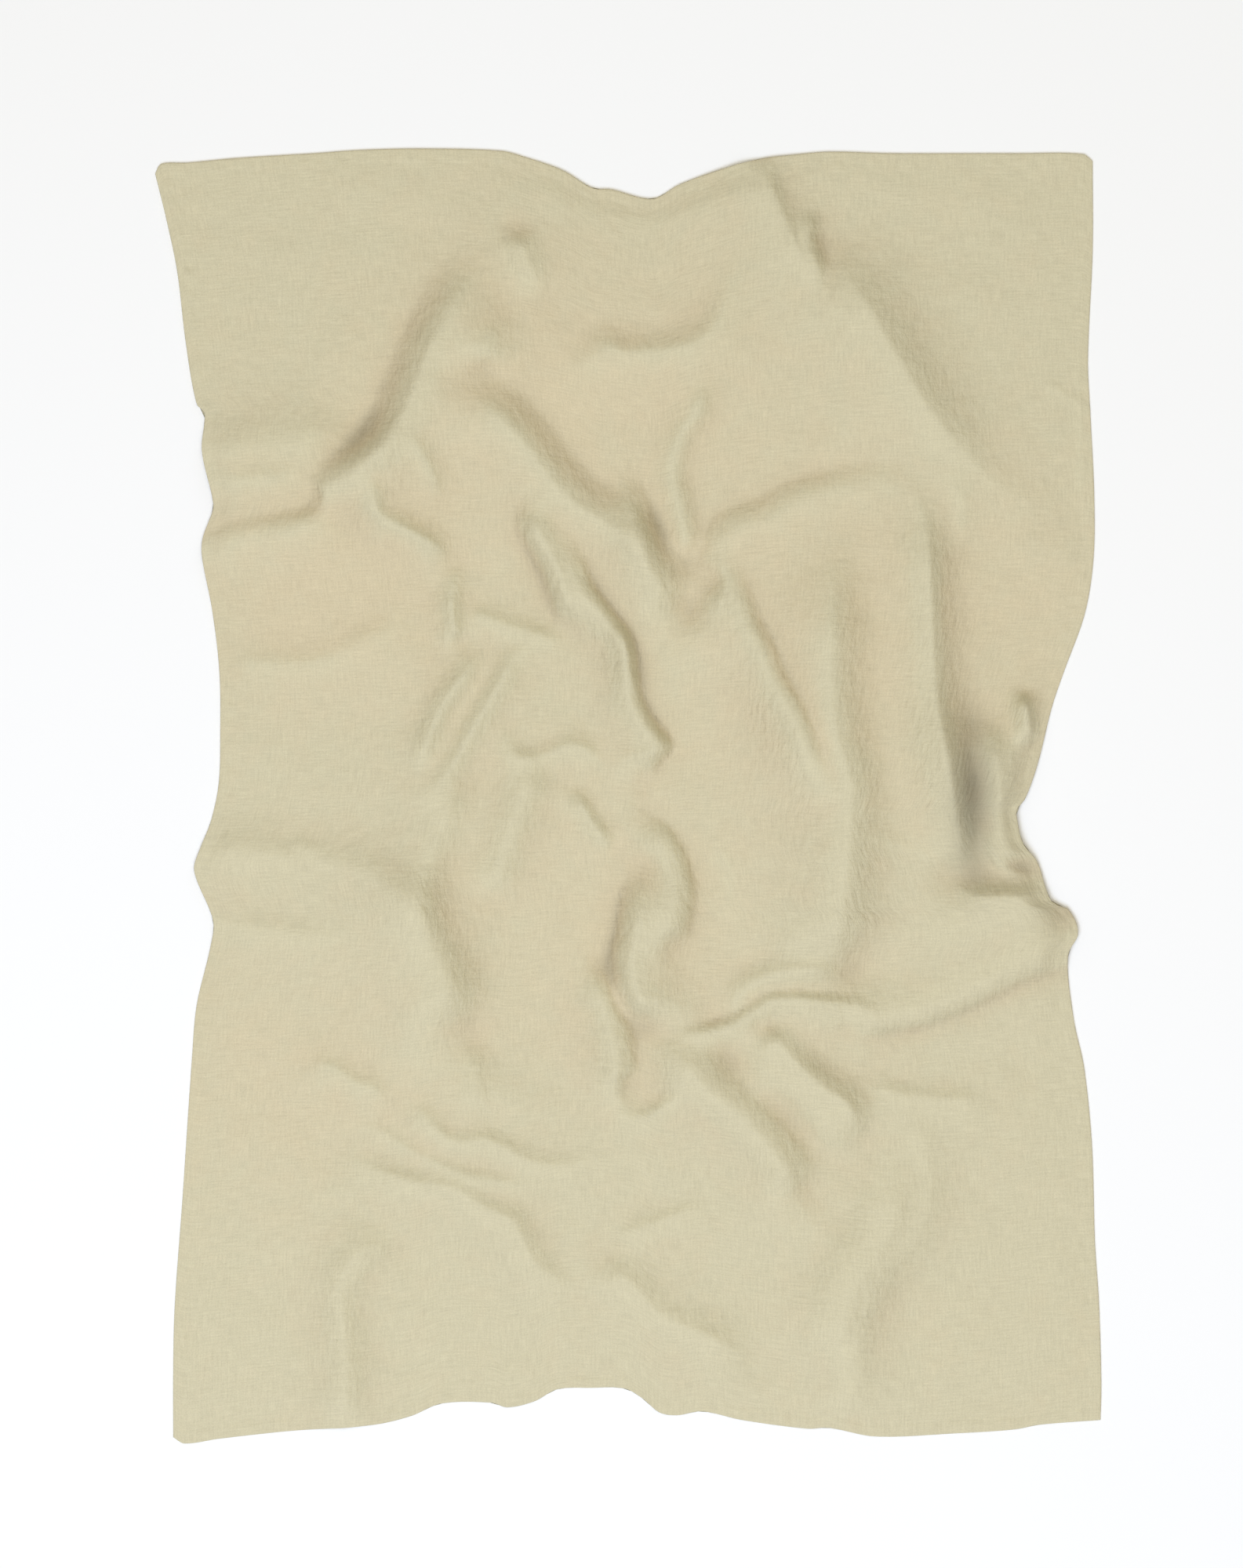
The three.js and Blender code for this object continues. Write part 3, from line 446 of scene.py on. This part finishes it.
def fold_height(fold, x, y):
    """How high one fold stands at each place, in mm."""
    points, heading = walk(fold.route)
    margin = WINDOW * max(fold.reach, fold.face) / PIXEL_MM
    low, high = points.min(axis=0) - margin, points.max(axis=0) + margin
    near = (x > low[0]) & (x < high[0]) & (y > low[1]) & (y < high[1])
    dx = x[near][:, None] - points[:, 0]
    dy = y[near][:, None] - points[:, 1]
    distance2 = dx * dx + dy * dy
    weight = (distance2 + NEAR_SOFTENING) ** -NEAR_POWER
    total = weight.sum(axis=1)
    side = (weight * (heading[:, 0] * dy - heading[:, 1] * dx)).sum(axis=1) / total * PIXEL_MM
    away2 = (weight * distance2).sum(axis=1) / total * PIXEL_MM**2
    share = (weight * np.arange(len(points))).sum(axis=1) / total / (len(points) - 1)
    past_share = END_ROUNDING * np.sqrt(np.maximum(away2 - side * side, 0)) / fold.reach
    crest = side - CREST_OFFSET * (1 + fold.foot) * fold.face
    steep = np.maximum(-crest / fold.face, 0) ** fold.bend
    drop = np.maximum(1 - fold.foot * steep, 0) ** (1 / fold.foot) if fold.foot else np.exp(-steep)
    gentle = np.maximum(crest / fold.reach, 0) ** REACH_CURVE
    ends = np.exp(-(past_share**REACH_CURVE))
    grown = ease(share / fold.start) if fold.start else 1
    dying = ease((1 - share) / fold.finish) if fold.finish else 1
    height = np.zeros_like(x)
    height[near] = fold.rise * np.where(crest < 0, drop, np.exp(-gentle)) * ends * grown * dying
    return height


def swell_height(swell, x, y):
    across = (x - swell.centre[0]) / swell.across
    along = (y - swell.centre[1]) / swell.along
    return swell.rise * np.exp(-SWELL_FALL * (across**2 + along**2))


def cloth_height(x, y):
    swells = sum(swell_height(swell, x, y) for swell in SWELLS)
    return swells + sum(fold_height(fold, x, y) for fold in FOLDS)


def spread(patches, x, y):
    """The patches' amounts at each place, added up."""
    total = np.zeros_like(x)
    for patch in patches:
        across = (x - patch.centre[0]) / patch.across
        along = (y - patch.centre[1]) / patch.along
        total += patch.amount * np.exp(-(across**2) - along**2)
    return total


def random_waves(x, y, seed, wavelength):
    """Smooth random heights with a spread of 1, from waves in all directions. x and y are in mm."""
    rng = np.random.default_rng(seed)
    total = np.zeros_like(x)
    for _ in range(WAVE_COUNT):
        turn, phase = rng.uniform(0, 2 * math.pi, 2)
        rate = 2 * math.pi / (wavelength * rng.uniform(*WAVE_SPREAD))
        total += np.cos(rate * (x * math.cos(turn) + y * math.sin(turn)) + phase)
    return total * math.sqrt(2 / WAVE_COUNT)


def lines(length, cell):
    """Shares of the way across: close together at both edges and even between them."""
    rim = np.array(RIM_LINES_MM) / length
    inner = np.linspace(rim[-1], 1 - rim[-1], round((1 - 2 * rim[-1]) * length / cell) + 1)
    return np.concatenate([rim[:-1], inner, (1 - rim[:-1])[::-1]])


def smoothed(heights, reach):
    """Each height replaced by the mean of those up to reach lines away, twice over."""
    for _ in range(2):
        for axis in (0, 1):
            padding = [(reach + 1, reach) if k == axis else (0, 0) for k in (0, 1)]
            total = np.cumsum(np.pad(heights, padding, mode="edge"), axis=axis)
            size = heights.shape[axis]
            upper = np.take(total, range(2 * reach + 1, 2 * reach + 1 + size), axis=axis)
            lower = np.take(total, range(size), axis=axis)
            heights = (upper - lower) / (2 * reach + 1)
    return heights


def lay(cell):
    """The cloth as a grid, with its inner lines about a cell apart, in mm."""
    u, v = np.meshgrid(lines(WIDTH_MM, cell), lines(LENGTH_MM, cell))
    x, y = place_at(u, v)
    height = cloth_height(x, y)
    across = np.minimum(u, 1 - u) * WIDTH_MM
    along = np.minimum(v, 1 - v) * LENGTH_MM
    freedom = ease(across / EDGE_REACH_MM) * ease(along / EDGE_REACH_MM)
    crest = height - smoothed(height, round(CREST_REACH_MM / cell))
    patched = np.clip(spread(WARM_PATCHES, x, y), 0, 1)
    # Crests are painted cooler and hollows warmer, standing in for the cool key light and the warm shade,
    # on top of the linen's warmer patches
    warmth = np.clip(patched - crest * CREST_PAINTED_COOL_LIGHT, *WARMTH_RANGE)
    # Painted light on the crests and painted shade in the hollows deeper than HOLLOW_FROM_MM
    shade = 1 + np.clip(crest * CREST_LIGHT, *CREST_LIGHT_RANGE)
    shade += np.clip((crest + HOLLOW_FROM_MM) * HOLLOW_SHADE, *HOLLOW_SHADE_RANGE)
    # Painted shade over the pocket at the waist
    shade -= spread(PAINTED_POCKET_SHADES, x, y)
    plan = (x - MIDDLE[0]) * PIXEL_MM, (MIDDLE[1] - y) * PIXEL_MM
    slope = np.hypot(np.gradient(height, axis=0), np.gradient(height, axis=1)) / cell
    wrinkled = smoothed(np.clip(slope * WRINKLING, 0, 1), reach=1)
    return Cloth(u, v, *plan, height, freedom, np.minimum(across, along), warmth, shade, wrinkled)


def rim_share(edge):
    """From 0 at the very edge to 1 where the cloth has turned level, along a quarter of a circle."""
    inward = np.clip(edge / RIM_ROUND_MM, 0, 1)
    return np.sqrt(1 - (1 - inward) ** 2)


def seam_relief(x, y, edge):
    """The seam allowance's step, and the puckers beside its line."""
    inner_end = ALLOWANCE_MM + ALLOWANCE_STEP_MM / 2
    band = ALLOWANCE_RISE_MM * ease((inner_end - edge) / ALLOWANCE_STEP_MM)
    waves = PUCKER_MM * random_waves(x, y, PUCKER_SEED, PUCKER_WAVE_MM)
    puckers = waves * np.exp(-((edge - ALLOWANCE_MM) / PUCKER_REACH_MM) ** 2)
    return band + puckers


def front_heights(cloth):
    """Heights of the front panel's upper side in mm, down to the seam at the very edge."""
    back_top = EDGE_HOLD * (1 - cloth.freedom) * cloth.height + SHEET_MM
    held = EDGE_HOLD + (1 - EDGE_HOLD) * cloth.freedom
    under = np.maximum(SHEET_MM + LAYER_GAP_MM + held * cloth.height, back_top + LAYER_GAP_MM)
    uneven = sum(w.rise * random_waves(cloth.x, cloth.y, w.seed, w.wavelength) for w in UNEVENNESS)
    inside = ease(cloth.edge / EDGE_REACH_MM)
    top = under + SHEET_MM + uneven * inside + seam_relief(cloth.x, cloth.y, cloth.edge)
    seam = EDGE_HOLD * cloth.height + SHEET_MM + LAYER_GAP_MM / 2 + SEAM_GAP_MM
    return mix(seam, np.maximum(top, back_top), rim_share(cloth.edge))


def back_heights(cloth):
    """Heights of the back panel's underside in mm, up to the seam at the very edge."""
    under = EDGE_HOLD * (1 - cloth.freedom) * cloth.height + FLOOR_CLEARANCE_MM
    seam = EDGE_HOLD * cloth.height + SHEET_MM + LAYER_GAP_MM / 2 - SEAM_GAP_MM
    return mix(seam, under, rim_share(cloth.edge))


def sheet_mesh(name, cloth, heights, faces_down):
    """One sheet as a grid mesh, with the flat cloth's own coordinates in metres as its UV map."""
    rows, columns = heights.shape
    corners = np.stack([cloth.x, cloth.y, heights], axis=-1).reshape(-1, 3) / MM_IN_M
    index = np.arange(rows * columns).reshape(rows, columns)
    around = index[:-1, :-1], index[1:, :-1], index[1:, 1:], index[:-1, 1:]
    quads = np.stack(around, axis=-1).reshape(-1, 4)
    if faces_down:
        quads = quads[:, ::-1]
    mesh = bpy.data.meshes.new(name)
    mesh.from_pydata(corners.tolist(), [], quads.tolist())
    flat = np.stack([cloth.u * FLAT_SIZE[0], (1 - cloth.v) * FLAT_SIZE[1]], axis=-1).reshape(-1, 2)
    layer = mesh.uv_layers.new(name="Cloth")
    layer.data.foreach_set("uv", flat[quads.reshape(-1)].reshape(-1))
    # The warmth attribute carries painted cool light on the crests as well as the linen's warmer patches,
    # and the shade attribute is painted light and shade
    for key, values in (("warmth", cloth.warmth), ("shade", cloth.shade), ("wrinkled", cloth.wrinkled)):
        mesh.attributes.new(key, "FLOAT", "POINT").data.foreach_set("value", values.reshape(-1))
    mesh.polygons.foreach_set("use_smooth", [True] * len(mesh.polygons))
    mesh.update()
    return mesh


def add_piece(mesh, node, material):
    piece = bpy.data.objects.new(mesh.name, mesh)
    bpy.context.collection.objects.link(piece)
    mesh.materials.append(material)
    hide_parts(node)
    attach(piece, "root")
    return piece


class Nodes:
    """A material's node tree, with short calls that add and join nodes."""

    def __init__(self, name):
        self.material = bpy.data.materials.new(name)
        self.material.use_nodes = True
        self.tree = self.material.node_tree
        self.tree.nodes.clear()

    def add(self, kind, inputs=None, **settings):
        node = self.tree.nodes.new(kind)
        for key, value in settings.items():
            setattr(node, key, value)
        for key, value in (inputs or {}).items():
            if isinstance(value, bpy.types.NodeSocket):
                self.tree.links.new(value, node.inputs[key])
            else:
                node.inputs[key].default_value = value
        return node

    def math(self, operation, a, b=0.0):
        return self.add("ShaderNodeMath", {0: a, 1: b}, operation=operation).outputs[0]

    def attribute(self, name):
        return self.add("ShaderNodeAttribute", attribute_name=name).outputs["Fac"]

    def stretched(self, place, stretch):
        return self.add("ShaderNodeMapping", {"Vector": place, "Scale": stretch}).outputs[0]

    def noise(self, place, scale=1.0, detail=2.0):
        inputs = {"Vector": place, "Scale": scale, "Detail": detail}
        return self.add("ShaderNodeTexNoise", inputs).outputs["Fac"]


def thread_streaks(n, place):
    """Thick and thin threads, along the cloth in some patches and across it in others."""
    patchy = n.noise(place, PATCH_SCALE)
    warp = n.noise(n.stretched(place, WARP_STRETCH), detail=5.0)
    weft = n.noise(n.stretched(place, WEFT_STRETCH), detail=5.0)
    return n.add("ShaderNodeMix", {0: patchy, 2: warp, 3: weft}).outputs[0]


def linen_tint(n, place):
    """A colour between green and warm linen, by the cloth's warmth, which holds painted cool light on the
    crests and painted warm shade in the hollows, and some soft clouds.
    """
    broad = n.noise(place, BROAD_CLOUD_SCALE, detail=3.0)
    small = n.noise(place, SMALL_CLOUD_SCALE, detail=3.0)
    clouds = n.math("SUBTRACT", n.math("ADD", broad, small), 1.0)
    tone = n.math("ADD", n.math("MULTIPLY", clouds, CLOUD_TINT), n.attribute("warmth"))
    colours = {"Factor": tone, 6: (*LINEN_GREEN, 1), 7: (*LINEN_WARM, 1)}
    return n.add("ShaderNodeMix", colours, data_type="RGBA").outputs[2]


def thread_shade(n, place, streaks):
    """How light each thread is, times the painted light and shade of the cloth's folds."""
    streaky = n.math("MULTIPLY", streaks, STREAK_SHARE)
    grainy = n.math("MULTIPLY", n.noise(place, GRAIN_SCALE, detail=3.0), GRAIN_SHARE)
    tones = n.add("ShaderNodeMapRange", {"Value": n.math("ADD", streaky, grainy)})
    tones.inputs["From Min"].default_value = THREAD_RANGE[0]
    tones.inputs["From Max"].default_value = THREAD_RANGE[1]
    tones.inputs["To Min"].default_value = THREAD_TONES[0]
    tones.inputs["To Max"].default_value = THREAD_TONES[1]
    return n.math("MULTIPLY", tones.outputs[0], n.attribute("shade"))


def linen_relief(n, place, streaks):
    """Heights of the threads, the crumples and the wrinkles on the slopes, in metres."""
    threads = n.math("MULTIPLY", streaks, THREAD_RELIEF)
    crumples = n.math("MULTIPLY", n.noise(place, CRUMPLE_SCALE, detail=4.0), CRUMPLE_RELIEF)
    slopes = n.math("MULTIPLY", n.attribute("wrinkled"), WRINKLE_RELIEF)
    upright = n.noise(n.stretched(place, WRINKLE_STRETCH), detail=4.0)
    wrinkles = n.math("MULTIPLY", upright, slopes)
    return n.math("ADD", n.math("ADD", threads, crumples), wrinkles)


def linen_material(name):
    n = Nodes(name)
    place = n.add("ShaderNodeUVMap", uv_map="Cloth").outputs["UV"]
    streaks = thread_streaks(n, place)
    tinted = {0: linen_tint(n, place), 3: thread_shade(n, place, streaks)}
    colour = n.add("ShaderNodeVectorMath", tinted, operation="SCALE").outputs[0]
    relief = {"Strength": 1.0, "Distance": 1.0, "Height": linen_relief(n, place, streaks)}
    bump = n.add("ShaderNodeBump", relief).outputs[0]
    look = {"Base Color": colour, "Roughness": LINEN_ROUGHNESS, "Sheen Weight": LINEN_SHEEN, "Normal": bump}
    skin = n.add("ShaderNodeBsdfPrincipled", look)
    n.add("ShaderNodeOutputMaterial", {"Surface": skin.outputs[0]})
    return n.material


def add_floor():
    mesh = bpy.data.meshes.new("floor")
    near, far = -FLOOR_REACH, FLOOR_REACH
    corners = [(near, near, 0), (far, near, 0), (far, far, 0), (near, far, 0)]
    mesh.from_pydata(corners, [], [(0, 1, 2, 3)])
    n = Nodes("floor_paint")
    look = {"Base Color": (*FLOOR_COLOUR, 1), "Roughness": FLOOR_ROUGHNESS}
    paint = n.add("ShaderNodeBsdfPrincipled", look)
    n.add("ShaderNodeOutputMaterial", {"Surface": paint.outputs[0]})
    mesh.materials.append(n.material)
    floor = bpy.data.objects.new("floor", mesh)
    bpy.context.collection.objects.link(floor)


def add_light(lamp):
    light = bpy.data.lights.new(lamp.name, "AREA")
    light.energy = lamp.power
    light.size = lamp.size
    light.color = lamp.colour
    holder = bpy.data.objects.new(lamp.name, light)
    holder.location = lamp.place
    holder.rotation_mode = "QUATERNION"
    holder.rotation_quaternion = (-holder.location).to_track_quat("-Z", "Y")
    bpy.context.collection.objects.link(holder)


def add_world():
    world = bpy.data.worlds.new("studio")
    world.use_nodes = True
    background = world.node_tree.nodes["Background"]
    background.inputs["Color"].default_value = (*WORLD_COLOUR, 1)
    background.inputs["Strength"].default_value = WORLD_STRENGTH
    bpy.context.scene.world = world


def add_camera():
    """A camera straight above, which sees what the photograph shows."""
    camera = bpy.data.cameras.new("overhead")
    camera.lens = CAMERA_LENS_MM
    camera.clip_end = CAMERA_FAR
    height = FRAME_PIXELS * PIXEL_MM / MM_IN_M * camera.lens / camera.sensor_width
    eye = bpy.data.objects.new("overhead", camera)
    x = (FRAME_CENTRE[0] - MIDDLE[0]) * PIXEL_MM / MM_IN_M
    y = (MIDDLE[1] - FRAME_CENTRE[1]) * PIXEL_MM / MM_IN_M
    eye.location = (x, y, height)
    bpy.context.collection.objects.link(eye)
    bpy.context.scene.camera = eye


def dress():
    front = lay(FRONT_CELL_MM)
    front_mesh = sheet_mesh("front_sheet", front, front_heights(front), False)
    add_piece(front_mesh, "front_panel", linen_material("linen"))
    back = lay(BACK_CELL_MM)
    back_mesh = sheet_mesh("back_sheet", back, back_heights(back), True)
    add_piece(back_mesh, "back_panel", linen_material("linen_back"))


dress()
add_floor()
for lamp in LAMPS:
    add_light(lamp)
add_world()
add_camera()
bpy.context.scene.view_settings.view_transform = "Standard"
